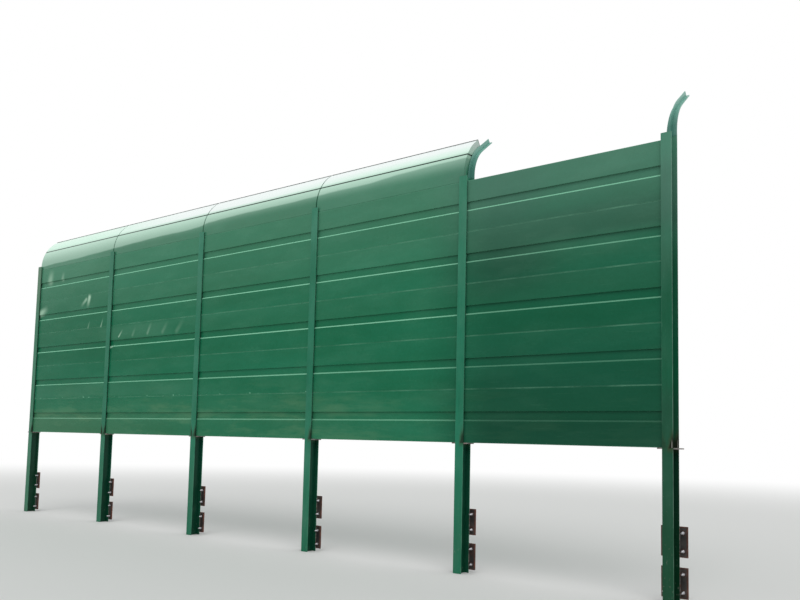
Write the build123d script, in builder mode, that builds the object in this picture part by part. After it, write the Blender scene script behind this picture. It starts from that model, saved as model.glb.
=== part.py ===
# Noise barrier section: six steel H posts bolted to the outer face of a parapet,
# five bays of stacked sound panels, and a top that curves back over the road.
# X runs along the barrier, Y points back to the parapet, Z is up.
# The origin is the middle of the back face of the upper wall plate on the third post.
# Millimetres throughout.

import os
from math import cos, degrees, radians, sin, sqrt

from build123d import *

os.makedirs("parts", exist_ok=True)

# The run
bay = 2000  # centre to centre of the posts
bay_count = 5
panel_rows = 5
origin_post = 3  # the post, counted from the left, that carries the origin
bare_bays = 1  # bays at the right end whose curved top is not fitted yet

# Posts: welded H section, flanges to the front and the back
post_width = 88
post_depth = 130
flange_thickness = 9
web_thickness = 6
post_top_lap = 50  # the posts rise this far above the straight panels
post_foot_drop = 150  # the posts reach this far below the middle of the lower plate

# Wall plates, two behind each post
wall_plate_width = 215
wall_plate_height = 240
wall_plate_thickness = 16
wall_plate_pitch = 318  # middle of the upper plate to middle of the lower one
anchor_spacing_x = 150
anchor_spacing_z = 142
anchor_hole_radius = 9

# Seat plates, which carry the lowest panels
seat_height = 734  # top of the seat plates above the middle of the upper wall plate
seat_plate_thickness = 10
seat_plate_reach = 88  # from the middle of the post

# Straight panels
panel_height = 500
panel_thickness = 100
panel_end_clearance = 5  # between the end of a panel and the web of the post
tongue_width = 30  # the tongue on top of each panel, which the next one sits over
tongue_height = 8
tongue_clearance = 1
panel_edge_bevel = 3
groove_bottom = 201
groove_top = 291
groove_depth = 12
groove_slope = 14  # height of the sloped lower side of the groove

# Seal strips between the front flanges and the panels
seal_width = 25
seal_set_back = 7  # from the edge of the flange

# Curved top
skin_radius = 510
top_angle = 57  # end of the curved skin, measured from the level of the post tops
seam_angle = 28  # joint between the lower and the upper curved panel
arm_radius = 410  # front face of the arm's flange
arm_bend = 52  # the angle up to which the arms are bent
arm_straight_end = 215  # length of the unbent end behind the bend
arm_tip_width = 56  # the flange narrows to this from the full width of the post
arm_web_rise = 40  # how far the arm's web stands in front of its flange
arm_panel_clearance = 0.4
cap_thickness = 6  # edge strip that closes the top of the upper curved panels
cap_lip = 5  # how far the strip stands proud of the skin
cap_arm_clearance = 2  # between the back of the strip and the arms

# Faces and levels that follow from the sizes above
rear_flange_back = -wall_plate_thickness
rear_flange_front = rear_flange_back - flange_thickness
post_front = rear_flange_back - post_depth
panel_back = rear_flange_front
panel_front = panel_back - panel_thickness
panel_middle_y = (panel_front + panel_back) / 2
straight_top = seat_height + panel_rows * panel_height
post_top = straight_top + post_top_lap
post_foot = -wall_plate_pitch - post_foot_drop
panel_length = bay - web_thickness - 2 * panel_end_clearance
skin_centre_y = panel_front + skin_radius
arm_centre_y = rear_flange_front + arm_radius


def post_x(number):
    return (number - origin_post) * bay


def panel_start(bay_number):
    return post_x(bay_number) + web_thickness / 2 + panel_end_clearance


def skin_point(angle, depth=0):
    """Point of the curved panels, a given depth behind the skin along its normal."""
    reach = skin_radius - depth
    return (skin_centre_y - reach * cos(radians(angle)), post_top + reach * sin(radians(angle)))


def panel_depth(angle):
    """Depth of a curved panel along the normal of its skin, down to the front of the arms."""
    offset = arm_centre_y - skin_centre_y
    back_radius = arm_radius + arm_panel_clearance
    if angle > arm_bend:
        past_bend = radians(angle - arm_bend)
        return skin_radius - (back_radius - offset * cos(radians(arm_bend))) / cos(past_bend)
    along = offset * cos(radians(angle))
    across = offset * sin(radians(angle))
    return skin_radius + along - sqrt(back_radius**2 - across**2)


def ahead(point, angle):
    """The same point moved on by the thickness of the edge strip, past the panel's end."""
    y, z = point
    return (y + cap_thickness * sin(radians(angle)), z + cap_thickness * cos(radians(angle)))


def arm_point(angle, rise=0):
    """Point of the arm, a given rise in front of its flange's front face."""
    reach = arm_radius + rise
    return (arm_centre_y - reach * cos(radians(angle)), post_top + reach * sin(radians(angle)))


def arm_edge(rise=0):
    """Side view of one face of the arm, a given rise in front of its flange's front face."""
    bent = ThreePointArc(
        arm_point(0, rise), arm_point(arm_bend / 2, rise), arm_point(arm_bend, rise)
    )
    return bent @ 0, PolarLine(bent @ 1, arm_straight_end, direction=bent % 1) @ 1


def save(part, label):
    part.label = label
    export_step(part, f"parts/{label}.step")


# Posts
post_places = [post_x(number) for number in range(1, bay_count + 2)]
for number, x in enumerate(post_places, start=1):
    with BuildPart() as post:
        with BuildSketch(Plane.XY.offset(post_foot)):
            for face in (post_front + flange_thickness / 2, rear_flange_back - flange_thickness / 2):
                with Locations((x, face)):
                    Rectangle(post_width, flange_thickness)
            with Locations((x, (post_front + rear_flange_back) / 2)):
                Rectangle(web_thickness, post_depth - 2 * flange_thickness)
        extrude(amount=post_top - post_foot)
    save(post.part, f"post_{number}")

# Curved arms on the post tops: a flange that is bent, runs out straight and narrows to
# its tip, with a shallow web in front of it
with BuildPart() as arm:
    with BuildSketch(Plane.YZ):
        with BuildLine():
            front_foot, front_tip = arm_edge()
            back_foot, back_tip = arm_edge(-flange_thickness)
            Line(front_foot, back_foot)
            Line(front_tip, back_tip)
        make_face()
    extrude(amount=post_width / 2, both=True)
    tip_level = front_tip.Y
    with BuildSketch(Plane.XZ):
        with BuildLine():
            Polyline(
                (-post_width / 2, post_top),
                (post_width / 2, post_top),
                (arm_tip_width / 2, tip_level),
                (-arm_tip_width / 2, tip_level),
                close=True,
            )
        make_face()
    extrude(amount=arm_radius + arm_straight_end, both=True, mode=Mode.INTERSECT)
    with BuildSketch(Plane.YZ):
        with BuildLine():
            web_foot, web_tip = arm_edge(arm_web_rise)
            root_foot, root_tip = arm_edge()
            Line(web_foot, root_foot)
            Line(web_tip, root_tip)
        make_face()
    extrude(amount=web_thickness / 2, both=True)
with BuildPart() as curved_arms:
    with Locations(*[(x, 0, 0) for x in post_places]):
        add(arm.part)
save(curved_arms.part, "curved_arms")

# Straight panels, five to a bay, each with a groove along the middle of its face, and
# a tongue on top that fits a slot in the foot of the next panel
groove_floor = panel_front + groove_depth
tongue_front = panel_middle_y - tongue_width / 2
tongue_back = panel_middle_y + tongue_width / 2
slot_height = tongue_height + tongue_clearance
for bay_number in range(1, bay_count + 1):
    for row in range(1, panel_rows + 1):
        foot = seat_height + (row - 1) * panel_height
        head = foot + panel_height
        with BuildPart() as panel:
            with BuildSketch(Plane.YZ.offset(panel_start(bay_number))):
                with BuildLine():
                    Polyline(
                        (panel_back, foot),
                        (tongue_back + tongue_clearance, foot),
                        (tongue_back + tongue_clearance, foot + slot_height),
                        (tongue_front - tongue_clearance, foot + slot_height),
                        (tongue_front - tongue_clearance, foot),
                        (panel_front + panel_edge_bevel, foot),
                        (panel_front, foot + panel_edge_bevel),
                        (panel_front, foot + groove_bottom),
                        (groove_floor, foot + groove_bottom + groove_slope),
                        (groove_floor, foot + groove_top),
                        (panel_front, foot + groove_top),
                        (panel_front, head - panel_edge_bevel),
                        (panel_front + panel_edge_bevel, head),
                        (tongue_front, head),
                        (tongue_front, head + tongue_height),
                        (tongue_back, head + tongue_height),
                        (tongue_back, head),
                        (panel_back, head),
                        close=True,
                    )
                make_face()
            extrude(amount=panel_length)
        save(panel.part, f"panel_{bay_number}_{row}")

# Curved panels: a lower and an upper one in each finished bay
bevel_angle = degrees(panel_edge_bevel / skin_radius)
for bay_number in range(1, bay_count + 1 - bare_bays):
    with BuildPart() as lower_panel:
        with BuildSketch(Plane.YZ.offset(panel_start(bay_number))):
            with BuildLine():
                end = seam_angle - bevel_angle
                Polyline(
                    (panel_back - arm_panel_clearance, post_top),
                    (panel_back - arm_panel_clearance, straight_top),
                    (tongue_back + tongue_clearance, straight_top),
                    (tongue_back + tongue_clearance, straight_top + slot_height),
                    (tongue_front - tongue_clearance, straight_top + slot_height),
                    (tongue_front - tongue_clearance, straight_top),
                    (panel_front + panel_edge_bevel, straight_top),
                    (panel_front, straight_top + panel_edge_bevel),
                    (panel_front, post_top),
                )
                ThreePointArc((panel_front, post_top), skin_point(end / 2), skin_point(end))
                Polyline(
                    skin_point(end),
                    skin_point(seam_angle, panel_edge_bevel),
                    skin_point(seam_angle, panel_depth(seam_angle)),
                )
                TangentArc(
                    (panel_back - arm_panel_clearance, post_top),
                    skin_point(seam_angle, panel_depth(seam_angle)),
                    tangent=(0, 1),
                )
            make_face()
        extrude(amount=panel_length)
    save(lower_panel.part, f"curved_panel_lower_{bay_number}")

    with BuildPart() as upper_panel:
        with BuildSketch(Plane.YZ.offset(panel_start(bay_number))):
            with BuildLine():
                start = seam_angle + bevel_angle
                middle = (seam_angle + top_angle) / 2
                Polyline(
                    skin_point(seam_angle, panel_depth(seam_angle)),
                    skin_point(seam_angle, panel_edge_bevel),
                    skin_point(start),
                )
                ThreePointArc(skin_point(start), skin_point(middle), skin_point(top_angle))
                Line(skin_point(top_angle), skin_point(top_angle, panel_depth(top_angle)))
                ThreePointArc(
                    skin_point(top_angle, panel_depth(top_angle)),
                    skin_point(middle, panel_depth(middle)),
                    skin_point(seam_angle, panel_depth(seam_angle)),
                )
            make_face()
        extrude(amount=panel_length)
    save(upper_panel.part, f"curved_panel_upper_{bay_number}")

# Edge strips along the top of the upper curved panels
with BuildPart() as top_edge_strips:
    for bay_number in range(1, bay_count + 1 - bare_bays):
        with BuildSketch(Plane.YZ.offset(panel_start(bay_number))):
            with BuildLine():
                outer = skin_point(top_angle, -cap_lip)
                inner = skin_point(top_angle, panel_depth(top_angle) - cap_arm_clearance)
                Polyline(outer, inner, ahead(inner, top_angle), ahead(outer, top_angle), close=True)
            make_face()
        extrude(amount=panel_length)
save(top_edge_strips.part, "top_edge_strips")

# Rubber seal strips that press the panels against the rear flanges
seal_depth = panel_front - post_front - flange_thickness
seal_middle = post_width / 2 - seal_set_back - seal_width / 2
with BuildPart() as seal_strips:
    with BuildSketch(Plane.XY.offset(seat_height)):
        for bay_number in range(1, bay_count + 1):
            left = post_x(bay_number) + seal_middle
            right = post_x(bay_number + 1) - seal_middle
            with Locations(*[(x, panel_front - seal_depth / 2) for x in (left, right)]):
                Rectangle(seal_width, seal_depth)
    extrude(amount=straight_top - seat_height)
save(seal_strips.part, "seal_strips")

# Wall plates with four anchor holes each
with BuildPart() as wall_plates:
    with BuildSketch(Plane.XZ):
        for x in post_places:
            for z in (0, -wall_plate_pitch):
                with Locations((x, z)):
                    Rectangle(wall_plate_width, wall_plate_height)
                with Locations((x, z)):
                    with GridLocations(anchor_spacing_x, anchor_spacing_z, 2, 2):
                        Circle(anchor_hole_radius, mode=Mode.SUBTRACT)
    extrude(amount=wall_plate_thickness)
save(wall_plates.part, "wall_plates")

# Seat plates in both channels of every post
seat_length = seat_plate_reach - web_thickness / 2
seat_depth = post_depth - 2 * flange_thickness
with BuildPart() as seat_plates:
    with BuildSketch(Plane.XY.offset(seat_height - seat_plate_thickness)):
        for x in post_places:
            for side in (-1, 1):
                middle_x = x + side * (web_thickness + seat_length) / 2
                with Locations((middle_x, (post_front + rear_flange_back) / 2)):
                    Rectangle(seat_length, seat_depth)
    extrude(amount=seat_plate_thickness)
save(seat_plates.part, "seat_plates")
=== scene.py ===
import math
import random

import bmesh
import bpy
from mathutils import Matrix, Vector


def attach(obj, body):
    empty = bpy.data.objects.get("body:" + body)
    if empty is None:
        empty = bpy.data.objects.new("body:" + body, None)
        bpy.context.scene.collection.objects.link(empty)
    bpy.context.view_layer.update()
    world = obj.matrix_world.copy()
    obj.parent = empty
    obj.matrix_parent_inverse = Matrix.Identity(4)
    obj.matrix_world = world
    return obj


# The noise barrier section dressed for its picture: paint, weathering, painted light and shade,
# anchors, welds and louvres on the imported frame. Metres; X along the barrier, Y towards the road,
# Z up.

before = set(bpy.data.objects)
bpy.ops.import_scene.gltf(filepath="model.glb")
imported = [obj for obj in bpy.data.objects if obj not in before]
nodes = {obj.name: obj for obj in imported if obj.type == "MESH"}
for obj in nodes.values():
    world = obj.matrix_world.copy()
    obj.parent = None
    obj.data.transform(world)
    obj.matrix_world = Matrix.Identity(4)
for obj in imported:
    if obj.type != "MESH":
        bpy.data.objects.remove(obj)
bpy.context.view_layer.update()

# Sizes that the pieces below share with the frame
run = {
    "bay": 2.0,
    "bays": 5,
    "curvedBays": 4,
    "firstPost": -4.0,
    "rows": 5,
    "rowHeight": 0.5,
    "seatTop": 0.734,
    "postTop": 3.284,
    "footLevel": -0.468,
    "plateFront": -0.016,
    "panelBack": -0.025,
    "halfFlange": 0.044,
    "arcCentreY": 0.385,
    "arcCentreZ": 3.284,
    "arcRadius": 0.41,
    "seamAngle": 28,
}
postPlaces = [run["firstPost"] + run["bay"] * n for n in range(run["bays"] + 1)]


def rgb(red, green, blue):
    # a colour as a paint chart gives it, turned into the light values that shaders use
    return tuple(
        (c / 255 / 12.92) if c <= 10 else ((c / 255 + 0.055) / 1.055) ** 2.4
        for c in (red, green, blue)
    ) + (1.0,)


class Wire:
    # one value on its way through a finish; sums on it add Math nodes
    def __init__(self, finish, socket):
        self.finish = finish
        self.socket = socket

    def math(self, operation, *others):
        values = dict(enumerate((self,) + others))
        return self.finish.node("Math", {"operation": operation}, values)

    def __add__(self, other):
        return self.math("ADD", other)

    __radd__ = __add__

    def __sub__(self, other):
        return self.math("SUBTRACT", other)

    def __rsub__(self, other):
        return self.finish.node("Math", {"operation": "SUBTRACT"}, {0: other, 1: self})

    def __mul__(self, other):
        return self.math("MULTIPLY", other)

    __rmul__ = __mul__

    def __truediv__(self, other):
        return self.math("DIVIDE", other)

    def __abs__(self):
        return self.math("ABSOLUTE")

    def floor(self):
        return self.math("FLOOR")

    def round(self):
        return self.math("ROUND")

    def least(self, other):
        return self.math("MINIMUM", other)

    def most(self, other):
        return self.math("MAXIMUM", other)

    def rise(self, low, high):
        # 0 below low and 1 above high, smooth between; falls where low is the larger
        return self.finish.node(
            "MapRange",
            {"interpolation_type": "SMOOTHSTEP"},
            {"Value": self, "From Min": low, "From Max": high},
        )

    def near(self, middle, reach, soft):
        # 1 within reach of the middle, fading over soft
        return abs(self - middle).rise(reach + soft, reach)

    def layer(self, low, high, amount):
        # nothing up to low, then growing to the whole amount at high
        return self.rise(low, high) * amount

    def band(self, middle, reach, soft, amount):
        # the whole amount within reach of the middle, fading over soft
        return self.near(middle, reach, soft) * amount

    def fromNearest(self, pitch):
        # the way to it from the nearest whole number of pitches
        return self - (self / pitch).round() * pitch

    def between(self, none, full):
        # none where a mask is 0, and full where it is 1
        return self * (full - none) + none


class Finish:
    # the nodes of one material, or of the world
    def __init__(self, owner):
        owner.use_nodes = True
        self.owner = owner
        self.tree = owner.node_tree
        self.tree.nodes.clear()

    def node(self, kind, settings=None, values=None, out=0):
        made = self.tree.nodes.new("ShaderNode" + kind)
        for name, value in (settings or {}).items():
            setattr(made, name, value)
        for name, value in (values or {}).items():
            if isinstance(value, Wire):
                self.tree.links.new(value.socket, made.inputs[name])
            else:
                made.inputs[name].default_value = value
        return Wire(self, made.outputs[out] if made.outputs else None)

    def split(self, vector):
        parts = self.node("SeparateXYZ", values={0: vector}).socket.node
        return [Wire(self, parts.outputs[n]) for n in range(3)]

    def place(self):
        return self.split(self.node("TexCoord", out="Object"))

    def facing(self):
        return self.split(self.node("NewGeometry", out="Normal"))

    def length(self, vector):
        return self.node("VectorMath", {"operation": "LENGTH"}, {0: vector}, out="Value")

    def noise(self, scale, detail=2.0, rough=0.5, stretch=(1, 1, 1), shift=0.0):
        where = self.node("TexCoord", out="Object")
        moved = self.node(
            "Mapping", values={"Vector": where, "Location": (shift, shift, shift), "Scale": stretch}
        )
        values = {"Vector": moved, "Scale": scale, "Detail": detail, "Roughness": rough}
        return self.node("TexNoise", values=values)

    def cell(self, x, z, seed):
        # one steady random number for each panel
        spot = self.node("CombineXYZ", values={0: x, 1: z, 2: seed})
        return self.node("TexWhiteNoise", {"noise_dimensions": "3D"}, {"Vector": spot})

    def stroke(self, x, z, start, end, reach, strength):
        # a soft mark along a line, plainest near its start and gone a fifth past its end
        length = math.dist(start, end)
        stepX, stepZ = (end[0] - start[0]) / length, (end[1] - start[1]) / length
        along = (x - start[0]) * stepX + (z - start[1]) * stepZ
        aside = abs((x - start[0]) * stepZ - (z - start[1]) * stepX)
        mark = aside.rise(reach, 0.0) * along.rise(-reach, 0.0) * along.rise(length * 1.2, 0.0)
        return mark * strength

    def mix(self, factor, first, second):
        return self.node("Mix", {"data_type": "RGBA"}, {0: factor, 6: first, 7: second}, out=2)

    def tint(self, look, *patterns):
        # between the two colours of a paint, by patterns that swing round a half
        tone = 0.5
        for pattern, share in zip(patterns, look["toneShares"]):
            tone = (pattern - 0.5) * share + tone
        return self.mix(tone.most(0.0).least(1.0), look["deep"], look["light"])

    def bump(self, height, depth, strength=1.0, under=None):
        values = {"Height": height, "Distance": depth, "Strength": strength}
        if under is not None:
            values["Normal"] = under
        return self.node("Bump", values=values)

    def surface(self, colour, roughness, normal, **constants):
        values = {"Base Color": colour, "Roughness": roughness, "Normal": normal}
        values.update({name.replace("_", " "): value for name, value in constants.items()})
        return self.show(self.node("BsdfPrincipled", values=values))

    def show(self, shader, kind="Material"):
        self.node("Output" + kind, values={"Surface": shader})
        return self.owner


def newFinish(name):
    return Finish(bpy.data.materials.new(name))


# Painted steel, for the straight and the curved sheets. Here and in the looks below, two
# numbers are where a mark starts and where it is full, with how much of it there is as the
# third. A band has its middle, half its width, its fade and how much. They go by height,
# those with X or Y in their names by that axis, a Cut by a noise, and a ledge's or a facing
# by how far a face looks up. A Share with two numbers is the least and the most of a mark
sheetPaint = {
    "deep": rgb(20, 102, 68),
    "light": rgb(31, 118, 86),
    "paintedShade": rgb(6, 50, 36),
    "coldSky": rgb(186, 188, 214),
    "haze": rgb(160, 206, 180),
    "skyReflection": rgb(216, 251, 230),
    "whiteSkyReflection": rgb(246, 254, 250),
    "splash": rgb(150, 180, 138),
    "mud": rgb(150, 140, 110),
    "scuff": rgb(130, 190, 160),
    "markTone": rgb(190, 228, 200),
    "lip": rgb(158, 228, 192),
    "seamShadow": rgb(14, 44, 34),
    "gloss": {"straight": 0.2, "curved": 0.14},
    "sheen": {"straight": 0.05, "curved": 0.22},
    "toneShares": (0.9, 0.8, 0.3, 1.0),  # drift, bands, step, mottle
    "stepSeed": 4.0,
    "outside": (0.12, -0.12),  # the Y of the way a face looks: road side, outer side
    "oilCanning": 0.012,
    "dentDepth": 0.004,
    "peelDepth": 0.0003,
    # painted shade, most of it in the right-hand bay, with darker patches near its top
    "rightBayX": (3.4, 4.4),
    "highShade": (3.1, 2.5, 0.31),
    "lowShade": (1.95, 1.1, 0.27),
    "footShade": (1.05, 0.9, 0.13),
    "topDarkening": (2.7, 2.9, 0.12),
    "darkBand": (2.66, 0.06, 0.16, 0.3),
    "darkBesidePost": (1.9, 2.4, 0.32),
    "darkBesidePostX": (5.3, 4.5),
    "leastShade": 0.02,
    "leftShade": (3.1, 2.6, 0.07),
    "leftShadeFoot": (0.9, 1.4),
    "leftShadeX": (-1.4, -2.6),
    # the pale film that grows with the height, partly dust and partly painted sky reflection, and a
    # painted cold sky reflection near the top
    "highHazeAndSky": (1.9, 3.4, 0.12),
    "filmHaze": 0.04,
    "leftHaze": (2.5, 3.3, 0.07),
    "leftHazeX": (-1.0, -3.8),
    "rightHazeX": (-1.5, 0.5, 0.01),
    "shadedHaze": (2.4, 2.1),
    "hazeKeptInShade": 0.5,
    "topCold": (2.5, 3.1, 0.034),
    "leastCold": 0.002,
    "rowCold": (2.6, 3.2, 0.012),
    "rowColdX": (1.0, 2.4),
    # the painted sky reflection on the bend; levels there are the sine of the angle
    "skinRadius": 0.51,
    "reflectionBorder": 0.182,
    "reflectionTilt": 0.045,  # how much higher the border is per metre to the right
    "reflectionHumpX": (-0.1, 0.1, 0.04),
    "reflectionHumpEndX": (3.0, 0.3),
    "reflectionLiftX": (2.6, 3.4, 0.03),
    "reflectionWaver": 0.14,
    "borderReflection": (-0.02, 0.03, 0.34),
    "faintFromX": (-0.3, 0.3, 0.08),
    "faintFull": 0.58,
    "faintReflection": 0.46,
    "aboveSeam": 0.1,
    "upperReflection": 0.2,
    "whiteReflectionX": (-2.8, -0.4),
    "lessWhiteReflectionX": (0.5, 3.0),
    "lessWhiteReflection": (0.72, 0.56, 0.6),
    "seamLine": (0.013, 0.006, 0.96),
    # the straight sheets: levels in a row count from its lower joint
    "upperHalf": (0.284, 0.3),
    "upperHalfLight": (1.5, 2.2, 0.02),
    "jointHaze": (1.34, 0.06, 0.06, 0.048),
    "jointHazeX": (0.4, -0.6),
    "strokeHaze": (2.12, 0.06, 0.06, 0.05),
    "strokeHazeX": (-1.4, 0.5, 0.5),
    "soffit": (0.245, 0.289),
    "soffitTop": (0.2925, 0.291),
    "soffitY": (-0.116, -0.114),
    "soffitShare": (0.12, 0.28),  # in the left-hand bays and in the right-hand one
    "ledgeLight": (-0.4, -0.8, 0.4),
    "lipFacing": (0.35, 0.6),
    "lipLevel": (0.208, 0.012, 0.004),
    "lipHighlight": (0.7, 2.3),
    "lipHighlightShare": (0.36, 0.78),
    "lipHighlightX": (1.6, 2.6),
    "lipHighlightRight": 0.88,
    "shadeOnLips": 1.4,
    # mud splashed up from below, in lying clouds
    "cloudCut": (0.46, 0.7),
    "splashed": (1.75, 0.9),
    "splashedShare": 0.07,
    "lowClouds": (1.25, 1.1, 0.06),
    "lowSplash": (1.3, 1.1, 0.03),
    "splashX": (4.6, 1.6),
    "splashRight": 0.15,
    "mudFilm": (1.06, 0.94, 0.08),
    "mudFilmX": (0.8, -3.0),
    "cloudRoughness": 0.12,
    # the joints between the rows
    "joint": (0.004, 0.003),
    "brokenCut": (0.3, 0.75),
    "brokenShare": (0.08, 0.42),
    "roadShare": 0.3,
    "speckCut": (0.6, 0.68),
    "speckLine": (0.0, 0.012, 0.012),
    "speckLevel": (1.234, 0.02, 0.01, 0.5),
    "speckX": (2.1, 1.9),
    "dentHighlight": 0.9,
    "scratchCut": (0.66, 0.74, 0.1),
    # dents with painted highlights: where each starts and ends (x, z), half its width, how plain it
    # is
    "dents": (
        ((-1.763, 2.066), (-1.679, 2.154), 0.02, 0.75),
        ((-1.433, 2.07), (-1.37, 2.18), 0.036, 0.17),
        ((-1.089, 2.077), (-1.01, 2.22), 0.036, 0.26),
        ((-0.756, 2.073), (-0.65, 2.21), 0.045, 0.15),
        ((-0.452, 2.066), (-0.31, 2.22), 0.055, 0.13),
        ((-2.225, 2.236), (-2.18, 2.352), 0.018, 0.6),
        ((-2.645, 2.66), (-2.775, 2.57), 0.042, 0.62),
        ((-2.562, 2.685), (-2.6, 2.545), 0.056, 0.95),
        ((-2.56, 2.24), (-2.52, 2.34), 0.02, 0.35),
        ((-3.93, 2.55), (-3.72, 2.61), 0.085, 0.8),
        ((-3.7, 3.04), (-3.65, 3.2), 0.11, 0.5),
        ((-3.34, 3.03), (-3.31, 3.14), 0.06, 0.34),
        ((-1.95, 1.925), (-1.85, 1.95), 0.018, 0.8),
    ),
}


def skyReflectionOnBend(f, look, colour, x, z, drift, outside):
    # a painted sky reflection on the bend, more of it the flatter it lies
    bend = (z - run["postTop"]) / look["skinRadius"]
    ahead = x * look["reflectionTilt"] + x.layer(*look["reflectionHumpX"]) * x.rise(*look["reflectionHumpEndX"])
    ahead = ahead + x.layer(*look["reflectionLiftX"])
    border = bend - ahead + (drift - 0.5) * look["reflectionWaver"] - look["reflectionBorder"]
    seam = math.sin(math.radians(run["seamAngle"]))
    above = bend.rise(seam, seam + look["aboveSeam"])
    faint = bend.rise(x.layer(*look["faintFromX"]), look["faintFull"]) * look["faintReflection"]
    skyReflection = border.layer(*look["borderReflection"]) + faint + above * look["upperReflection"]
    kept = 1.0 - x.rise(*look["lessWhiteReflectionX"]) * bend.layer(*look["lessWhiteReflection"])
    whiteSkyReflection = above * x.rise(*look["whiteReflectionX"]) * kept
    pale = f.mix(whiteSkyReflection, look["skyReflection"], look["whiteSkyReflection"])
    colour = f.mix(skyReflection * outside, colour, pale)
    # the shadow in the joint along the bend
    return f.mix(bend.band(seam, *look["seamLine"]), colour, look["seamShadow"])


def groovedSheet(f, look, colour, x, y, nz, z, inRow, upper, brightened, outside):
    # painted shade in the groove towards its top, and painted light on the underside above it
    soffit = inRow.rise(*look["soffit"]) * inRow.rise(*look["soffitTop"])
    soffit = soffit * y.rise(*look["soffitY"]) * outside
    share = x.rise(*look["rightBayX"]).between(*look["soffitShare"])
    colour = f.mix(soffit * share, colour, look["paintedShade"])
    colour = f.mix(nz.layer(*look["ledgeLight"]) * upper, colour, look["haze"])
    # a painted highlight on the sloped lip under each groove, weaker on the lower ones and in the
    # painted shade
    lip = nz.rise(*look["lipFacing"]) * inRow.near(*look["lipLevel"])
    lipHighlight = z.rise(*look["lipHighlight"]).between(*look["lipHighlightShare"]) * brightened
    lipHighlight = lipHighlight * x.rise(*look["lipHighlightX"]).between(1.0, look["lipHighlightRight"])
    return f.mix(lip * lipHighlight * outside, colour, look["lip"])


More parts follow.
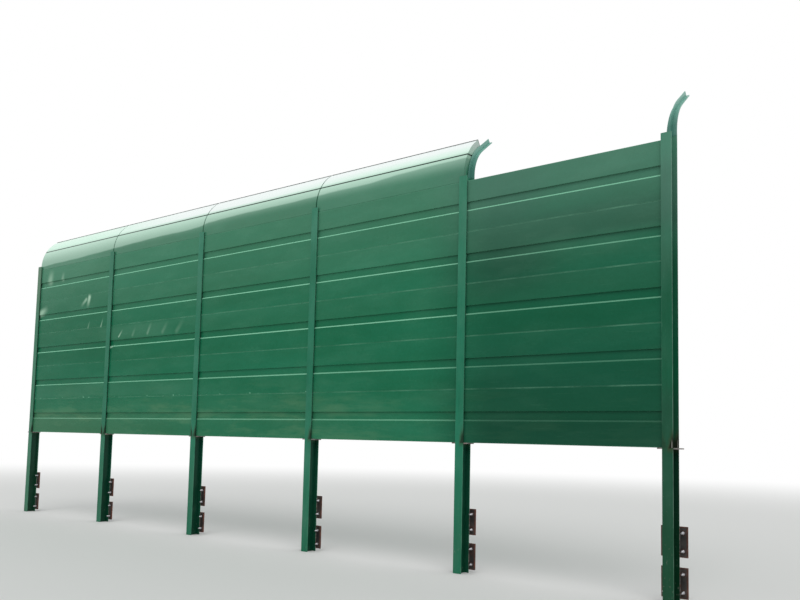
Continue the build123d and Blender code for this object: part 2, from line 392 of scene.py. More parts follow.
def panelPaint(name, shape, look):
    f = newFinish(name)
    x, y, z = f.place()
    ny, nz = f.facing()[1:]
    row = ((z - run["seatTop"]) / run["rowHeight"]).floor()
    inRow = z - run["seatTop"] - row * run["rowHeight"]
    outside = ny.rise(*look["outside"])

    # Colour: slow drifts along the sheet, a step from panel to panel, fine mottling
    drift = f.noise(1.3, 3.0, 0.55, stretch=(0.6, 1, 2.2), shift=3.1)
    bands = f.noise(2.6, 2.0, 0.5, stretch=(0.22, 1, 2.4), shift=11.0)
    mottle = f.noise(44, 4.0, 0.7)
    step = f.cell((x / run["bay"]).floor(), row, look["stepSeed"])
    colour = f.tint(look, drift, bands, step, mottle)

    # Painted shade in the right-hand bay, darker patches near its top, a faint painted shade at the
    # left
    rightBay = x.rise(*look["rightBayX"]) * outside
    paintedShade = (z.layer(*look["highShade"]) + z.layer(*look["lowShade"])) * rightBay
    brightened = 1.0 - paintedShade * look["shadeOnLips"]
    upperDarkening = z.band(*look["darkBand"]) + z.layer(*look["topDarkening"])
    upperDarkening = upperDarkening.most(x.rise(*look["darkBesidePostX"]) * z.layer(*look["darkBesidePost"]))
    paintedShade = paintedShade + (upperDarkening + z.layer(*look["footShade"]) + look["leastShade"]) * rightBay
    shade = z.layer(*look["leftShade"]) * z.rise(*look["leftShadeFoot"])
    colour = f.mix(paintedShade.most(shade * x.rise(*look["leftShadeX"])), colour, look["paintedShade"])
    # a painted cold sky reflection near the top, most of it in the right-hand bay
    coldSky = (z.layer(*look["topCold"]) + look["leastCold"]) * rightBay
    coldSky = coldSky + z.layer(*look["rowCold"]) * x.rise(*look["rowColdX"]) * outside
    colour = f.mix(coldSky, colour, look["coldSky"])

    # A pale film, partly dust and partly painted sky reflection, more of it higher up
    film = f.noise(3.4, 4.0, 0.6, stretch=(0.5, 1, 1.6), shift=7.0).rise(0.35, 0.8)
    haze = z.layer(*look["highHazeAndSky"]) + film * look["filmHaze"]
    haze = haze + z.layer(*look["leftHaze"]) * x.rise(*look["leftHazeX"])
    haze = haze + x.layer(*look["rightHazeX"])
    # less of the film in the painted shade of the right-hand bay
    shaded = x.rise(*look["rightBayX"]) * z.rise(*look["shadedHaze"])
    haze = haze * shaded.between(1.0, look["hazeKeptInShade"])
    if shape == "curved":
        colour = f.mix(haze * outside, colour, look["haze"])
        colour = skyReflectionOnBend(f, look, colour, x, z, drift, outside)
    else:
        # painted light on the upper half of each row
        upper = inRow.rise(*look["upperHalf"])
        haze = haze + upper * z.layer(*look["upperHalfLight"])
        # two paler stretches on the left, above the lowest joint and round the dents
        haze = haze + z.band(*look["jointHaze"]) * x.rise(*look["jointHazeX"])
        haze = haze + z.band(*look["strokeHaze"]) * x.near(*look["strokeHazeX"])
        colour = f.mix(haze * outside, colour, look["haze"])
        colour = groovedSheet(f, look, colour, x, y, nz, z, inRow, upper, brightened, outside)

    roughness = film * 0.1 + mottle * 0.06 + look["gloss"][shape]
    sway = f.noise(1.7, 1.0, 0.4, stretch=(0.8, 1, 2.2), shift=13.0)
    normal = f.bump(sway, look["oilCanning"])
    if shape == "straight":
        cloud = f.noise(4.0, 4.0, 0.6, stretch=(0.4, 1, 2.2), shift=21.0).rise(*look["cloudCut"])
        splashed = cloud * z.rise(*look["splashed"])
        mud = splashed * look["splashedShare"] + cloud * z.layer(*look["lowClouds"])
        mud = (mud + z.layer(*look["lowSplash"])) * outside
        mud = mud * x.rise(*look["splashX"]).between(look["splashRight"], 1.0)
        colour = f.mix(mud, colour, look["splash"])
        mudFilm = z.layer(*look["mudFilm"]) * x.rise(*look["mudFilmX"])
        colour = f.mix(mudFilm * outside, colour, look["mud"])
        roughness = roughness + splashed * look["cloudRoughness"]

        # Scuffed joints between the rows, broken up along their length
        joint = inRow.near(0.0, *look["joint"]).most(inRow.near(run["rowHeight"], *look["joint"]))
        broken = f.noise(2.6, 4.0, 0.6, stretch=(1, 0.1, 0.1), shift=2.0).rise(*look["brokenCut"])
        scuffed = joint * broken.between(*look["brokenShare"])
        colour = f.mix(scuffed * outside.between(look["roadShare"], 1.0), colour, look["scuff"])

        # Chipped specks along the lowest of them
        specks = f.noise(26, 3.0, 0.6, shift=33.0).rise(*look["speckCut"])
        specks = specks * inRow.near(*look["speckLine"]) * z.band(*look["speckLevel"])
        colour = f.mix(specks * x.rise(*look["speckX"]) * outside, colour, look["lip"])

        # Dents: a bump, and a painted highlight where they catch the light
        marks = [f.stroke(x, z, *dent) for dent in look["dents"]]
        dented = marks[0]
        for mark in marks[1:]:
            dented = dented.most(mark)
        dented = dented * outside
        colour = f.mix(dented * look["dentHighlight"], colour, look["markTone"])
        normal = f.bump(dented, look["dentDepth"], under=normal)

    # Fine scratches that run along the sheets
    scratch = f.noise(3.0, 3.0, 0.6, stretch=(1, 30, 60), shift=5.0)
    colour = f.mix(scratch.layer(*look["scratchCut"]), colour, look["scuff"])
    normal = f.bump(f.noise(180, 1.0, 0.5), look["peelDepth"], 0.4, under=normal)
    return f.surface(colour, roughness, normal, Specular_IOR_Level=look["sheen"][shape])


# A Share with two numbers is for the first five posts and for the last, the dirtiest one, with the
# most painted shade
postPaintLook = {
    "deep": rgb(14, 100, 70),
    "light": rgb(34, 124, 94),
    "paintedShade": rgb(3, 50, 14),
    "channelShade": rgb(3, 14, 12),
    "soot": rgb(34, 44, 38),
    "dusty": rgb(205, 150, 120),
    "haze": rgb(150, 190, 174),
    "brightened": rgb(130, 186, 158),
    "char": rgb(26, 24, 20),
    "singed": rgb(58, 66, 40),
    "ash": rgb(158, 158, 150),
    "mortar": rgb(158, 156, 146),
    "toneShares": (0.8, 1.2, 0.25),  # brushed, drift, step
    "stepSeed": 2.0,
    "gloss": 0.3,
    "sheen": 0.14,
    "brushDepth": 0.0016,
    "grainDepth": 0.0004,
    "lastX": (5.0, 5.5),
    "lastShade": (3.2, 2.1, 0.44),
    "footSoot": (1.35, 1.0),
    "highSoot": (2.8, 0.14, 0.25),
    "sootShare": 0.31,
    "firstX": (-3.8, -3.9),
    "firstDusty": (2.3, 3.2, 0.09),
    "leastDusty": 0.03,
    "channelFront": (-0.1375, -0.1355),  # the Y of the flanges' inner faces
    "channelBack": (-0.0235, -0.0255),
    "belowSeats": (0.76, 0.68),
    "channelShadeShare": (0.72, 0.64),
    "filmDustShare": (0.08, 0.04),
    "lowDust": (0.72, 0.5, 0.02),
    "ledgeLight": (0.2, 0.9, 0.3),
    "highDustAndSky": (1.8, 3.3),
    "highDustAndSkyShare": (0.08, 0.24),
    "footShade": (0.74, -0.3),
    "footShadeShare": (0.2, 0.34),
    "scratchCut": (0.66, 0.76, 0.16),
    "mortarCut": (0.62, 0.7),
    "mortarLevel": (0.55, -0.4),
    "mortarShare": 0.3,
    "edgeInset": (0.0022, 0.0008),  # in from the edge of a flange
    "frontY": (-0.135, -0.139),
    "chipCut": (0.36, 0.56, 0.2),
    # burns: levels run from the seats, 0, to the top of the burnt paint, 1
    "scorchTop": 0.14,  # how far the burnt paint reaches above the seats
    "scorchWidth": 0.034,
    "scorchWaver": 0.05,
    "burnSeed": 9.0,
    "burnCut": (0.1, 0.7),
    "leftToRightX": (-0.001, 0.001),
    "rightBurnX": (0.0, 0.002, 0.8),
    "hotSide": (-0.008, 0.012),
    "hotFoot": (-0.06, 0.02),
    "hotTop": (1.0, 0.35),
    "hotShare": 0.88,
    "insideX": (0.0, 0.003),
    "insideFoot": (-0.02, 0.02),
    "insideTop": (0.9, 0.2),
    "singedSide": (-0.03, 0.004),
    "singedFoot": (-0.4, 0.0),
    "singedTop": (1.5, 0.5),
    "singedShare": 0.65,
    "streakX": (0.037, 0.0016, 0.0016),
    "streakFoot": (-0.02, 0.02),
    "streakTop": (0.55, 0.2),
    "streakCut": (0.3, 0.5),
}


def postPaint(name, look):
    f = newFinish(name)
    x, y, z = f.place()
    nz = f.facing()[2]
    post = (x / run["bay"]).round()
    across = x.fromNearest(run["bay"])  # from the middle of the nearest post
    last = x.rise(*look["lastX"])

    brushed = f.noise(9.0, 3.0, 0.6, stretch=(4, 4, 0.35), shift=1.0)
    drift = f.noise(2.0, 3.0, 0.55, shift=6.0)
    step = f.cell(post, 0.0, look["stepSeed"])
    colour = f.tint(look, brushed, drift, step)

    # Painted shade and soot on the last post, a dusty tint on the first
    colour = f.mix(z.layer(*look["lastShade"]) * last, colour, look["paintedShade"])
    soot = z.rise(*look["footSoot"]).most(z.near(*look["highSoot"])) * last
    colour = f.mix(soot * look["sootShare"], colour, look["soot"])
    dusty = x.rise(*look["firstX"]) * (z.layer(*look["firstDusty"]) + look["leastDusty"])
    colour = f.mix(dusty, colour, look["dusty"])

    # Painted shade in the channels below the seats; elsewhere dust lies on the paint, with a
    # painted sky reflection higher up and painted light on upward faces
    channel = y.rise(*look["channelFront"]) * y.rise(*look["channelBack"])
    channelShade = channel * z.rise(*look["belowSeats"])
    colour = f.mix(channelShade * last.between(*look["channelShadeShare"]), colour, look["channelShade"])
    film = f.noise(5.0, 4.0, 0.6, stretch=(1, 1, 0.5), shift=4.0).rise(0.35, 0.75)
    dust = film * last.between(*look["filmDustShare"]) + z.layer(*look["lowDust"])
    dust = dust + nz.layer(*look["ledgeLight"])
    dust = dust + z.rise(*look["highDustAndSky"]) * last.between(*look["highDustAndSkyShare"])
    colour = f.mix(dust * (1.0 - channelShade), colour, look["haze"])
    # painted shade at the feet of the posts
    foot = z.rise(*look["footShade"]) * last.between(*look["footShadeShare"])
    colour = f.mix(foot, colour, look["paintedShade"])

    scratch = f.noise(4.0, 3.0, 0.6, stretch=(50, 50, 3), shift=15.0)
    colour = f.mix(scratch.layer(*look["scratchCut"]), colour, look["brightened"])

    # Splashes of mortar below the panels
    splash = f.noise(46, 4.0, 0.7, shift=9.0).rise(*look["mortarCut"])
    splash = splash * z.rise(*look["mortarLevel"])
    colour = f.mix(splash * look["mortarShare"], colour, look["mortar"])

    # Bright edges on the front flanges: bare chipped paint and a painted edge highlight
    edge = abs(across).rise(*(run["halfFlange"] - inset for inset in look["edgeInset"]))
    chips = f.noise(24, 4.0, 0.7, stretch=(1, 1, 0.25), shift=17.0).layer(*look["chipCut"])
    colour = f.mix(edge * y.rise(*look["frontY"]) * chips, colour, look["brightened"])

    # Paint burnt off beside the seats by the welding
    up = (z - run["seatTop"]) / look["scorchTop"]
    flicker = f.noise(30, 4.0, 0.65, stretch=(1, 1, 0.4), shift=8.0)
    strength = f.cell(post, across.rise(*look["leftToRightX"]), look["burnSeed"])
    strength = strength.rise(*look["burnCut"]).most(across.layer(*look["rightBurnX"]))
    reach = (1.0 - up) * look["scorchWidth"] + (flicker - 0.5) * look["scorchWaver"]
    side = abs(across) - run["halfFlange"] + reach
    hot = side.rise(*look["hotSide"]) * up.rise(*look["hotFoot"]) * up.rise(*look["hotTop"])
    inside = channel * across.rise(*look["insideX"]) * last * up.rise(*look["insideFoot"])
    inside = inside * (up + flicker - 0.5).rise(*look["insideTop"])
    hot = (hot * strength).most(inside)
    singed = side.rise(*look["singedSide"]) * up.rise(*look["singedFoot"])
    singed = singed * up.rise(*look["singedTop"]) * strength
    colour = f.mix(singed * look["singedShare"], colour, look["singed"])
    colour = f.mix(hot * look["hotShare"], colour, look["char"])
    # and a streak of ash inside the last post
    streak = across.near(*look["streakX"]) * up.rise(*look["streakFoot"])
    streak = streak * up.rise(*look["streakTop"]) * flicker.rise(*look["streakCut"])
    colour = f.mix(streak * last, colour, look["ash"])

    roughness = film * 0.12 + hot * 0.4 + singed * 0.15 + look["gloss"]
    normal = f.bump(brushed, look["brushDepth"], 0.5)
    grain = f.noise(140, 2.0, 0.5) + splash * 1.5 + hot * flicker * 2.0
    normal = f.bump(grain, look["grainDepth"], 0.6, under=normal)
    return f.surface(colour, roughness, normal, Specular_IOR_Level=look["sheen"])


armPaintLook = {
    "deep": rgb(46, 106, 92),
    "light": rgb(68, 130, 114),
    "haze": rgb(156, 216, 198),
    "toneShares": (0.9, 1.2),  # brushed, drift
    "filmHaze": 0.08,
    "tipSkyReflection": (3.34, 3.62, 0.37),
    "ledgeHaze": (0.1, 0.9, 0.06),
    "leastHaze": 0.03,
    "gloss": 0.26,
    "brushDepth": 0.0014,
    "grainDepth": 0.0004,
}


def armPaint(name, look):
    f = newFinish(name)
    z = f.place()[2]
    nz = f.facing()[2]
    brushed = f.noise(8.0, 3.0, 0.6, stretch=(4, 1, 1), shift=2.0)
    drift = f.noise(3.0, 3.0, 0.55, shift=16.0)
    colour = f.tint(look, brushed, drift)
    film = f.noise(7.0, 4.0, 0.6, shift=24.0).rise(0.35, 0.75)
    # a dust film, and a painted sky reflection towards the tip and on upward faces
    haze = film * look["filmHaze"] + z.layer(*look["tipSkyReflection"]) + nz.layer(*look["ledgeHaze"])
    colour = f.mix(haze + look["leastHaze"], colour, look["haze"])
    normal = f.bump(brushed, look["brushDepth"], 0.5)
    normal = f.bump(f.noise(140, 2.0, 0.5), look["grainDepth"], 0.5, under=normal)
    return f.surface(colour, film * 0.12 + look["gloss"], normal, Specular_IOR_Level=0.5)


edgeLook = {
    "deep": rgb(6, 26, 20),
    "light": rgb(14, 44, 33),
    "haze": rgb(96, 120, 106),
    "paint": rgb(34, 118, 86),
    "behindLip": (0.2, 0.5),
    "filmHaze": 0.2,
    "ledgeHaze": (0.3, 1.0, 0.15),
    "gloss": 0.3,
    "grainDepth": 0.0003,
}


def edgePaint(name, look):
    f = newFinish(name)
    ny, nz = f.facing()[1:]
    drift = f.noise(4.0, 4.0, 0.6, shift=31.0)
    colour = f.mix(drift.rise(0.3, 0.7), look["deep"], look["light"])
    film = f.noise(16.0, 4.0, 0.6, shift=12.0).rise(0.4, 0.7)
    # only the lip in front is weathered dark, the face behind it keeps its paint
    colour = f.mix(ny.rise(*look["behindLip"]), colour, look["paint"])
    haze = film * look["filmHaze"] + nz.layer(*look["ledgeHaze"])
    colour = f.mix(haze, colour, look["haze"])
    normal = f.bump(f.noise(120, 2.0, 0.5), look["grainDepth"], 0.5)
    return f.surface(colour, film * 0.15 + look["gloss"], normal, Specular_IOR_Level=0.4)


sealLook = {"darkTone": rgb(22, 48, 38), "grey": rgb(52, 84, 70)}
# the louvres' openings are closed by faces in painted shade, near black
louvreShadeLook = {"darkTone": rgb(5, 22, 16), "grey": rgb(18, 44, 34)}


def matteDark(name, look):
    f = newFinish(name)
    bloom = f.noise(11.0, 4.0, 0.6, stretch=(1, 1, 0.4), shift=3.0).rise(0.4, 0.75)
    colour = f.mix(bloom * 0.5, look["darkTone"], look["grey"])
    normal = f.bump(f.noise(260, 2.0, 0.6), 0.0004, 0.6)
    return f.surface(colour, bloom * 0.15 + 0.62, normal, Specular_IOR_Level=0.3)


wallPlateLook = {
    "scale": rgb(38, 36, 36),
    "pale": rgb(74, 69, 66),
    "rust": rgb(112, 58, 38),
    "darkRust": rgb(62, 38, 30),
    "halfWidth": 0.1075,
    "halfHeight": 0.12,
    "pitch": 0.318,
    "boltX": 0.075,
    "boltZ": 0.071,
    "edgeRust": (0.016, 0.0),  # in from the edge of the plate
    "edgeWaver": 0.03,
    "boltRust": (0.026, 0.014, 0.8),  # out from the middle of a bolt
    "boltWaver": 0.02,
    "blotchCut": (0.52, 0.66, 0.35),
    "runCut": (0.55, 0.7, 0.2),
    "rustShare": 0.85,
    "gloss": 0.42,
    "pitDepth": 0.0008,
}


def wallPlateSteel(name, look):
    f = newFinish(name)
    place = f.place()
    across, tall = place[0].fromNearest(run["bay"]), place[2].fromNearest(look["pitch"])
    wobble = f.noise(22, 4.0, 0.65, shift=5.0)
    scale = f.noise(6.0, 4.0, 0.6, shift=14.0)
    colour = f.mix(scale.rise(0.35, 0.7), look["scale"], look["pale"])

    # Rust along the edges and round the bolts, in blotches and in runs
    edge = (look["halfWidth"] - abs(across)).least(look["halfHeight"] - abs(tall))
    rusty = (edge + (wobble - 0.5) * look["edgeWaver"]).rise(*look["edgeRust"])
    fromBolt = {0: abs(across) - look["boltX"], 1: abs(tall) - look["boltZ"]}
    fromBolt = f.length(f.node("CombineXYZ", values=fromBolt))
    fromBolt = fromBolt + (wobble - 0.5) * look["boltWaver"]
    rusty = rusty.most(fromBolt.layer(*look["boltRust"]))
    blotch = f.noise(9.0, 5.0, 0.65, shift=40.0).layer(*look["blotchCut"])
    runs = f.noise(30, 3.0, 0.6, stretch=(1, 1, 0.06), shift=18.0).layer(*look["runCut"])
    rusty = rusty.most(blotch).most(runs)
    rust = f.mix(wobble.rise(0.35, 0.65), look["darkRust"], look["rust"])
    colour = f.mix(rusty * look["rustShare"], colour, rust)

    roughness = rusty * 0.3 + scale * 0.15 + look["gloss"]
    pits = f.noise(210, 3.0, 0.6) * rusty
    normal = f.bump(pits + wobble * 0.3, look["pitDepth"], 0.8)
    return f.surface(colour, roughness, normal, Specular_IOR_Level=0.4)


seatLook = {
    "steel": rgb(150, 147, 143),
    "scale": rgb(92, 90, 90),
    "rust": rgb(132, 84, 60),
    "green": rgb(40, 96, 68),
    "rustCut": (0.5, 0.66),
    "rustShare": 0.5,
    "spray": (0.056, 0.034),  # paint off the post, out from its middle
    "sprayWaver": 0.03,
    "sprayShare": 0.5,
    "gloss": 0.34,
    "shine": 0.5,
}


def seatSteel(name, look):
    f = newFinish(name)
    across = abs(f.place()[0].fromNearest(run["bay"]))
    scale = f.noise(20, 4.0, 0.65, shift=3.0)
    colour = f.mix(scale.rise(0.35, 0.68), look["steel"], look["scale"])
    rusty = f.noise(34, 5.0, 0.65, shift=27.0).rise(*look["rustCut"])
    colour = f.mix(rusty * look["rustShare"], colour, look["rust"])
    spray = (across + (scale - 0.5) * look["sprayWaver"]).rise(*look["spray"])
    colour = f.mix(spray * look["sprayShare"], colour, look["green"])
    roughness = rusty * 0.25 + scale * 0.2 + look["gloss"]
    normal = f.bump(f.noise(240, 3.0, 0.6) + rusty * 0.5, 0.0005, 0.7)
    metal = (1.0 - rusty) * (1.0 - spray) * look["shine"]
    return f.surface(colour, roughness, normal, Metallic=metal)


fastenerLook = {"zinc": rgb(206, 204, 208), "markTone": rgb(160, 160, 165), "rust": rgb(128, 78, 48)}
washerLook = {"zinc": rgb(82, 78, 76), "markTone": rgb(56, 52, 50), "rust": rgb(104, 58, 38)}


def zincCoat(name, look):
    f = newFinish(name)
    spangle = f.noise(160, 3.0, 0.6)
    colour = f.mix(spangle.rise(0.35, 0.65), look["markTone"], look["zinc"])
    stain = f.noise(60, 4.0, 0.6, shift=6.0).rise(0.58, 0.7)
    colour = f.mix(stain * 0.35, colour, look["rust"])
    normal = f.bump(spangle, 0.0003, 0.6)
    return f.surface(colour, stain * 0.3 + spangle * 0.15 + 0.28, normal, Metallic=0.75)


weldLook = {"bead": rgb(74, 72, 70), "bright": rgb(140, 138, 134), "rust": rgb(112, 62, 38)}


def weldMetal(name, look):
    f = newFinish(name)
    fresh = f.noise(40, 4.0, 0.6, shift=2.0)
    colour = f.mix(fresh.rise(0.4, 0.68), look["bead"], look["bright"])
    rusty = f.noise(70, 4.0, 0.65, shift=19.0).rise(0.46, 0.64)
    colour = f.mix(rusty * 0.7, colour, look["rust"])
    normal = f.bump(f.noise(300, 2.0, 0.6), 0.0005, 0.7)
    return f.surface(colour, rusty * 0.3 + 0.38, normal, Metallic=0.35)


finishes = {
    "panel_paint": panelPaint("panelPaint", "straight", sheetPaint),
    "curved_panel_paint": panelPaint("curvedPanelPaint", "curved", sheetPaint),
    "post_paint": postPaint("postPaint", postPaintLook),
    "arm_paint": armPaint("armPaint", armPaintLook),
    "edge_paint": edgePaint("edgePaint", edgeLook),
    "seal_rubber": matteDark("matteDark", sealLook),
    "plate_steel": wallPlateSteel("wallPlateSteel", wallPlateLook),
    "seat_steel": seatSteel("seatSteel", seatLook),
}
louvreShade = matteDark("louvreShadow", louvreShadeLook)
zinc = zincCoat("zincCoat", fastenerLook)
oldZinc = zincCoat("oldZinc", washerLook)
weld = weldMetal("weldMetal", weldLook)

slotOf = {
    "post_": "post_paint",
    "curved_arms": "arm_paint",
    "panel_": "panel_paint",
    "curved_panel_": "curved_panel_paint",
    "top_edge_strips": "edge_paint",
    "seal_strips": "seal_rubber",
    "wall_plates": "plate_steel",
    "seat_plates": "seat_steel",
}
for nodeName, piece in nodes.items():
    start = max((s for s in slotOf if nodeName.startswith(s)), key=len)
    for slot in piece.material_slots:
        slot.material = finishes[slotOf[start]]
print("finishes on", len(nodes), "frame pieces")


def addPiece(name, mesh):
    piece = bpy.data.objects.new(name, mesh)
    bpy.context.scene.collection.objects.link(piece)
    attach(piece, "root")
    print(name, len(mesh.polygons), "faces")


def makePiece(name, bm, material, smooth=False):
    bmesh.ops.recalc_face_normals(bm, faces=bm.faces)
    mesh = bpy.data.meshes.new(name)
    bm.to_mesh(mesh)
    bm.free()
    mesh.materials.append(material)
    mesh.polygons.foreach_set("use_smooth", [smooth] * len(mesh.polygons))
    addPiece(name, mesh)


def ring(bm, centre, radius, count, turn=0.0):
    # points round a circle that faces along Y
    angles = [turn + 2 * math.pi * n / count for n in range(count)]
    return [
        bm.verts.new(centre + Vector((radius * math.cos(a), 0, radius * math.sin(a))))
        for a in angles
    ]


def skin(bm, rings):
    # joins rings of points into a closed tube with flat ends
    for first, second in zip(rings, rings[1:]):
        for n in range(len(first)):
            m = (n + 1) % len(first)
            bm.faces.new((first[n], first[m], second[m], second[n]))
    bm.faces.new(rings[0])
    bm.faces.new(rings[-1])


# Anchors: a threaded stud through each hole of the wall plates, with washer and nut. A bevel
# is its height and how far it goes in
anchor = {
    "seed": 318,
    "spacingX": 0.15,
    "spacingZ": 0.142,
    "levels": (0.0, -0.318),
    "proud": (0.014, 0.03),  # the least and the most that a stud stands out of its nut
    "gap": 0.0002,  # plate to washer and washer to nut
    "studRadius": 0.0078,
    "studSides": 18,
    "studTip": (0.003, 0.0022),
    "rootY": -0.0005,
    "rootInset": 0.0004,
    "threadPitch": 0.002,
    "threadDepth": 0.0009,
    "washerRadius": 0.016,
    "washerSides": 28,
    "washerThickness": 0.003,
    "washerBevel": (0.0006, 0.0007),
    "nutRadius": 0.0135,
    "nutHeight": 0.0135,
    "nutFoot": (0.0012, 0.0012),
    "nutTop": (0.0018, 0.0022),
}


def turned(bm, seat, radius, profile, count, turn=0.0):
    # a piece that stands out from its seat, by how far out each ring is and how far in it lies
    out = Vector((0, -1, 0))
    rings = [ring(bm, seat + out * far, radius - inset, count, turn) for far, inset in profile]
    skin(bm, rings)


def addAnchor(bm, washers, spot, turn, proud):
    face = Vector((spot[0], run["plateFront"], spot[1]))
    out = Vector((0, -1, 0))
    thick, bevel = anchor["washerThickness"], anchor["washerBevel"]
    profile = ((anchor["gap"], 0.0), (thick - bevel[0], 0.0), (thick, bevel[1]))
    turned(washers, face, anchor["washerRadius"], profile, anchor["washerSides"])

    seat = face + out * (thick + anchor["gap"])
    foot, top, height = anchor["nutFoot"], anchor["nutTop"], anchor["nutHeight"]
    profile = ((0.0, foot[1]), (foot[0], 0.0), (height - top[0], 0.0), (height, top[1]))
    turned(bm, seat, anchor["nutRadius"], profile, 6, turn)

    radius, pitch, sides = anchor["studRadius"], anchor["threadPitch"], anchor["studSides"]
    end = height + proud
    thread = []
    for n in range(int(end / pitch) + 1):
        thread.append(ring(bm, seat + out * (n * pitch), radius - anchor["threadDepth"], sides))
        thread.append(ring(bm, seat + out * (n * pitch + pitch / 2), radius, sides))
    tip, inset = anchor["studTip"]
    thread.append(ring(bm, seat + out * (end + tip), radius - inset, sides))
    root = Vector((spot[0], anchor["rootY"], spot[1]))
    skin(bm, [ring(bm, root, radius - anchor["rootInset"], sides)] + thread)


anchorChance = random.Random(anchor["seed"])
bolts, washers = bmesh.new(), bmesh.new()
for postX in postPlaces:
    for level in anchor["levels"]:
        for sideX in (-0.5, 0.5):
            for sideZ in (-0.5, 0.5):
                spot = (postX + sideX * anchor["spacingX"], level + sideZ * anchor["spacingZ"])
                turn = anchorChance.uniform(0, math.pi)
                proud = anchorChance.uniform(*anchor["proud"])
                addAnchor(bolts, washers, spot, turn, proud)
makePiece("anchor_bolts", bolts, zinc)
makePiece("anchor_washers", washers, oldZinc)

# Weld beads: posts to wall plates, seats to posts, arms to post tops
bead = {
    "seed": 52,
    "step": 0.004,
    "sides": 6,
    "ripple": 0.08,
    "wander": 0.1,
    "endSize": 0.35,  # share of the full size at an end
    "endSwell": 4,  # sizes gained over the whole length, until it is full
    "plateSize": 0.005,
    "plateReach": 0.118,  # up and down from the middle of a wall plate
    "plateGap": 0.001,
    "seatSize": 0.004,
    "seatDrop": 0.0115,
    "flangeFaces": (-0.1365, -0.0255),
    "flangeX": (0.006, 0.043),
    "webX": 0.0045,
    "webY": (-0.132, -0.03),
    "armSize": 0.003,
    "armFaces": (-0.0162, -0.0248),
    "armReach": 0.042,
}
weldChance = random.Random(bead["seed"])


def addBead(bm, start, end, size):
    start, end = Vector(start), Vector(end)
    along = (end - start).normalized()
    side = along.orthogonal().normalized()
    other = along.cross(side)
    count = max(3, int((end - start).length / bead["step"]))
    turns = [2 * math.pi * k / bead["sides"] for k in range(bead["sides"])]
    rings = []
    for n in range(count + 1):
        t = n / count
        swell = min(1.0, bead["endSize"] + bead["endSwell"] * min(t, 1 - t))
        radius = size * swell * (1 + bead["ripple"] * (n % 2 * 2 - 1))
        radius *= 1 + weldChance.uniform(-1, 1) * bead["wander"]
        middle = start.lerp(end, t)
        rings.append(
            [
                bm.verts.new(middle + side * radius * math.cos(a) + other * radius * math.sin(a))
                for a in turns
            ]
        )
    skin(bm, rings)


welds = bmesh.new()
for postX in postPlaces:
    plateY = run["plateFront"] - bead["plateGap"]
    for level in anchor["levels"]:
        low, high = level - bead["plateReach"], level + bead["plateReach"]
        for side in (-1, 1):
            edgeX = postX + side * run["halfFlange"]
            addBead(welds, (edgeX, plateY, low), (edgeX, plateY, high), bead["plateSize"])
    seatZ = run["seatTop"] - bead["seatDrop"]
    for side in (-1, 1):
        # under each seat, against both flanges and the web
        near, far = (postX + side * x for x in bead["flangeX"])
        for faceY in bead["flangeFaces"]:
            addBead(welds, (near, faceY, seatZ), (far, faceY, seatZ), bead["seatSize"])
        webX = postX + side * bead["webX"]
        front, back = bead["webY"]
        addBead(welds, (webX, front, seatZ), (webX, back, seatZ), bead["seatSize"])
makePiece("weld_beads", welds, weld, smooth=True)

armWelds = bmesh.new()
for postX in postPlaces:
    left, right = postX - bead["armReach"], postX + bead["armReach"]
    for faceY in bead["armFaces"]:
        start, end = (left, faceY, run["postTop"]), (right, faceY, run["postTop"])
        addBead(armWelds, start, end, bead["armSize"])
makePiece("arm_weld_beads", armWelds, finishes["arm_paint"], smooth=True)

# Louvres pressed into the sheets on the road side
louvre = {
    "length": 0.06,
    "height": 0.011,
    "stand": 0.0045,
    "pitchX": 0.076,
    "pitchZ": 0.025,
    "across": 24,  # in a row
    "rows": 17,  # in a straight panel
    "gap": 0.0001,
    "curvedFrom": (5.0, 32.0),  # degrees up the bend, on the lower and the upper curved panel
    "curvedStep": 3.0,
    "curvedRows": 7,
    "curvedGap": (0.0003, 0.0009),
}
louvreFaces = (
    (0, 1, 6),
    (1, 2, 7, 6),
    (2, 3, 7),
    (0, 6, 9, 5),
    (3, 4, 8, 7),
    (6, 7, 8, 9),
    (5, 9, 8, 4),  # the opening under the hood, closed by a face in painted shade
)


def addLouvre(points, faces, middle, up, out):
    half, tall = louvre["length"] / 2, louvre["height"] / 2
    along = Vector((1, 0, 0))
    first = len(points)
    shape = (  # along, up, out: a hood that opens at its lower edge
        (-half, 0.0, 0.0),
        (-half * 0.86, tall, 0.0),
        (half * 0.86, tall, 0.0),
        (half, 0.0, 0.0),
        (half * 0.9, -tall, 0.0),
        (-half * 0.9, -tall, 0.0),
        (-half * 0.78, 0.1 * tall, 0.72),
        (half * 0.78, 0.1 * tall, 0.72),
        (half * 0.8, -tall, 1.0),
        (-half * 0.8, -tall, 1.0),
    )
    for a, b, c in shape:
        points.append(middle + along * a + up * b + out * (c * louvre["stand"]))
    for face in louvreFaces:
        faces.append([first + n for n in face])


def louvrePiece(name, spots, slotName):
    points, faces = [], []
    for middle, up, out in spots:
        addLouvre(points, faces, middle, up, out)
    mesh = bpy.data.meshes.new(name)
    mesh.from_pydata(points, [], faces)
    mesh.materials.append(finishes[slotName])
    # the openings take the second finish, a painted shade
    mesh.materials.append(louvreShade)
    each = len(louvreFaces)
    openings = [int(n % each == each - 1) for n in range(len(faces))]
    mesh.polygons.foreach_set("material_index", openings)
    mesh.polygons.foreach_set("use_smooth", [False] * len(mesh.polygons))
    addPiece(name, mesh)


def louvreRow(middleX, n):
    # the X of each louvre in row n: every other row is one short and half a step over
    odd = n % 2
    return [
        middleX + (k + odd / 2 - (louvre["across"] - 1) / 2) * louvre["pitchX"]
        for k in range(louvre["across"] - odd)
    ]


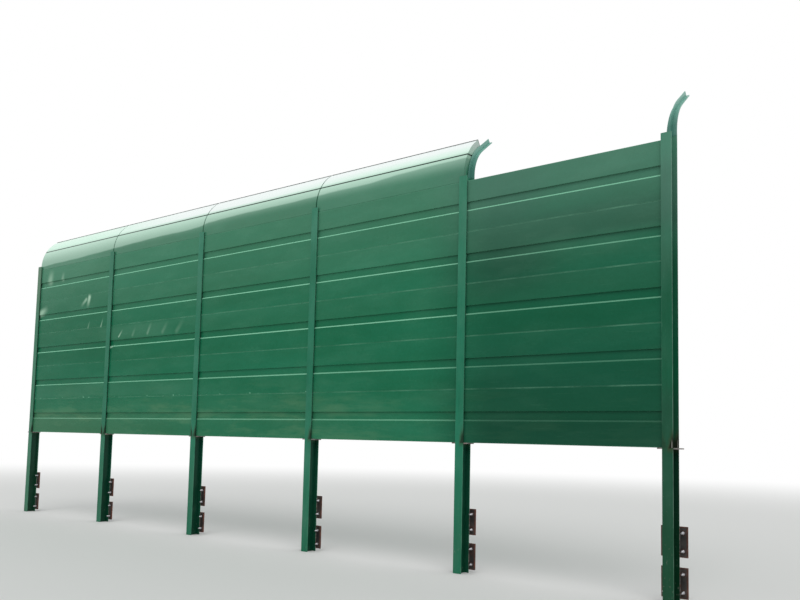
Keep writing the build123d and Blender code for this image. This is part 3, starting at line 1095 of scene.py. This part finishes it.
upright, toRoad = Vector((0, 0, 1)), Vector((0, 1, 0))
bendRows = [
    (first + louvre["curvedStep"] * k, run["arcRadius"] + gap)
    for first, gap in zip(louvre["curvedFrom"], louvre["curvedGap"])
    for k in range(louvre["curvedRows"])
]
for bayNumber in range(run["bays"]):
    middleX = postPlaces[bayNumber] + run["bay"] / 2
    spots = []
    for row in range(run["rows"]):
        foot = run["seatTop"] + row * run["rowHeight"]
        firstZ = foot + run["rowHeight"] / 2 - (louvre["rows"] - 1) / 2 * louvre["pitchZ"]
        for n in range(louvre["rows"]):
            z = firstZ + n * louvre["pitchZ"]
            for x in louvreRow(middleX, n):
                spots.append((Vector((x, run["panelBack"] + louvre["gap"], z)), upright, toRoad))
    louvrePiece(f"road_louvres_{bayNumber + 1}", spots, "panel_paint")
    if bayNumber >= run["curvedBays"]:
        continue
    spots = []
    for n, (degree, reach) in enumerate(bendRows):
        a = math.radians(degree)
        out = Vector((0, math.cos(a), -math.sin(a)))
        up = Vector((0, math.sin(a), math.cos(a)))
        y = run["arcCentreY"] - reach * math.cos(a)
        z = run["arcCentreZ"] + reach * math.sin(a)
        spots += [(Vector((x, y, z)), up, out) for x in louvreRow(middleX, n)]
    louvrePiece(f"road_louvres_curved_{bayNumber + 1}", spots, "curved_panel_paint")

# Floor, background and light
studio = {
    "floor": rgb(222, 222, 219),
    "white": (1.0, 1.0, 1.0, 1.0),
    "floorMiddle": (1.0, 0.0, 0.0),
    "floorReach": 90.0,
    "floorGap": 0.0005,
    "floorCorners": 72,
    "fadeFrom": 9.0,
    "fadeTo": 26.0,
    "skyLight": 0.74,
    "skyColour": (0.96, 0.98, 1.0, 1.0),
    "sunStrength": 0.8,
    "sunAngle": 45.0,
    "sunTurn": (44.0, 0.0, 36.0),
}


def seenPlain(f, *kinds):
    # 1 where the white is to show itself, and 0 for the rays that carry light
    seen = f.node("LightPath", out="Is Camera Ray")
    for kind in kinds:
        seen = seen.most(f.node("LightPath", out=kind))
    return seen


def makeFloor():
    bm = bmesh.new()
    reach, count = studio["floorReach"], studio["floorCorners"]
    middle, level = studio["floorMiddle"], run["footLevel"] - studio["floorGap"]
    turns = [math.radians(360 / count * n) for n in range(count)]
    spots = [(middle[0] + reach * math.cos(a), middle[1] + reach * math.sin(a)) for a in turns]
    bm.faces.new([bm.verts.new((x, y, level)) for x, y in spots])
    mesh = bpy.data.meshes.new("floor")
    bm.to_mesh(mesh)
    bm.free()
    floor = bpy.data.objects.new("floor", mesh)
    bpy.context.scene.collection.objects.link(floor)
    f = newFinish("paleFloor")
    where = f.node("TexCoord", out="Object")
    centred = f.node("VectorMath", {"operation": "SUBTRACT"}, {0: where, 1: middle})
    fade = f.length(centred).rise(studio["fadeFrom"], studio["fadeTo"])
    floorPaint = {"Base Color": studio["floor"], "Roughness": 0.9, "Specular IOR Level": 0.1}
    plain = f.node("BsdfPrincipled", values=floorPaint)
    white = f.node("Emission", values={"Color": studio["white"], "Strength": 1.0})
    faded = fade * seenPlain(f, "Is Glossy Ray")
    mesh.materials.append(f.show(f.node("MixShader", values={0: faded, 1: plain, 2: white})))


def makeLight():
    world = bpy.data.worlds.new("studio")
    bpy.context.scene.world = world
    f = Finish(world)
    skyPaint = {"Color": studio["skyColour"], "Strength": studio["skyLight"]}
    sky = f.node("Background", values=skyPaint)
    white = f.node("Background", values={"Color": studio["white"], "Strength": 1.0})
    seen = seenPlain(f, "Is Glossy Ray", "Is Transmission Ray")
    f.show(f.node("MixShader", values={0: seen, 1: sky, 2: white}), "World")

    lamp = bpy.data.lights.new("softKey", "SUN")
    lamp.energy = studio["sunStrength"]
    lamp.angle = math.radians(studio["sunAngle"])
    key = bpy.data.objects.new("softKey", lamp)
    key.rotation_euler = [math.radians(a) for a in studio["sunTurn"]]
    bpy.context.scene.collection.objects.link(key)


# The camera stands where the photograph was taken from
shot = {
    "place": (8.6126, -6.6699, 0.7634),
    "yaw": 39.3188,
    "pitch": 5.0023,
    "roll": 1.2959,
    "focalPixels": 850.44,
    "widthPixels": 800,
    "sensor": 36.0,
    "centreDrop": 63.65,  # pixels from the middle of the frame down to the optical axis
    "nearest": 0.05,
    "farthest": 400,
}


def makeCamera():
    yaw, pitch, roll = (math.radians(shot[k]) for k in ("yaw", "pitch", "roll"))
    ahead = Vector(
        (-math.sin(yaw) * math.cos(pitch), math.cos(yaw) * math.cos(pitch), math.sin(pitch))
    )
    right = Vector((math.cos(yaw), math.sin(yaw), 0))
    up = right.cross(ahead)
    rolledRight = right * math.cos(roll) + up * math.sin(roll)
    rolledUp = up * math.cos(roll) - right * math.sin(roll)
    turn = Matrix((rolledRight, rolledUp, -ahead)).transposed()
    data = bpy.data.cameras.new("camera")
    data.sensor_width = shot["sensor"]
    data.lens = shot["focalPixels"] / shot["widthPixels"] * shot["sensor"]
    data.shift_y = shot["centreDrop"] / shot["widthPixels"]
    data.clip_start, data.clip_end = shot["nearest"], shot["farthest"]
    camera = bpy.data.objects.new("camera", data)
    camera.matrix_world = Matrix.Translation(shot["place"]) @ turn.to_4x4()
    bpy.context.scene.collection.objects.link(camera)
    bpy.context.scene.camera = camera


makeFloor()
makeLight()
makeCamera()
bpy.context.scene.view_settings.view_transform = "Standard"
print("stage, light and camera in place")
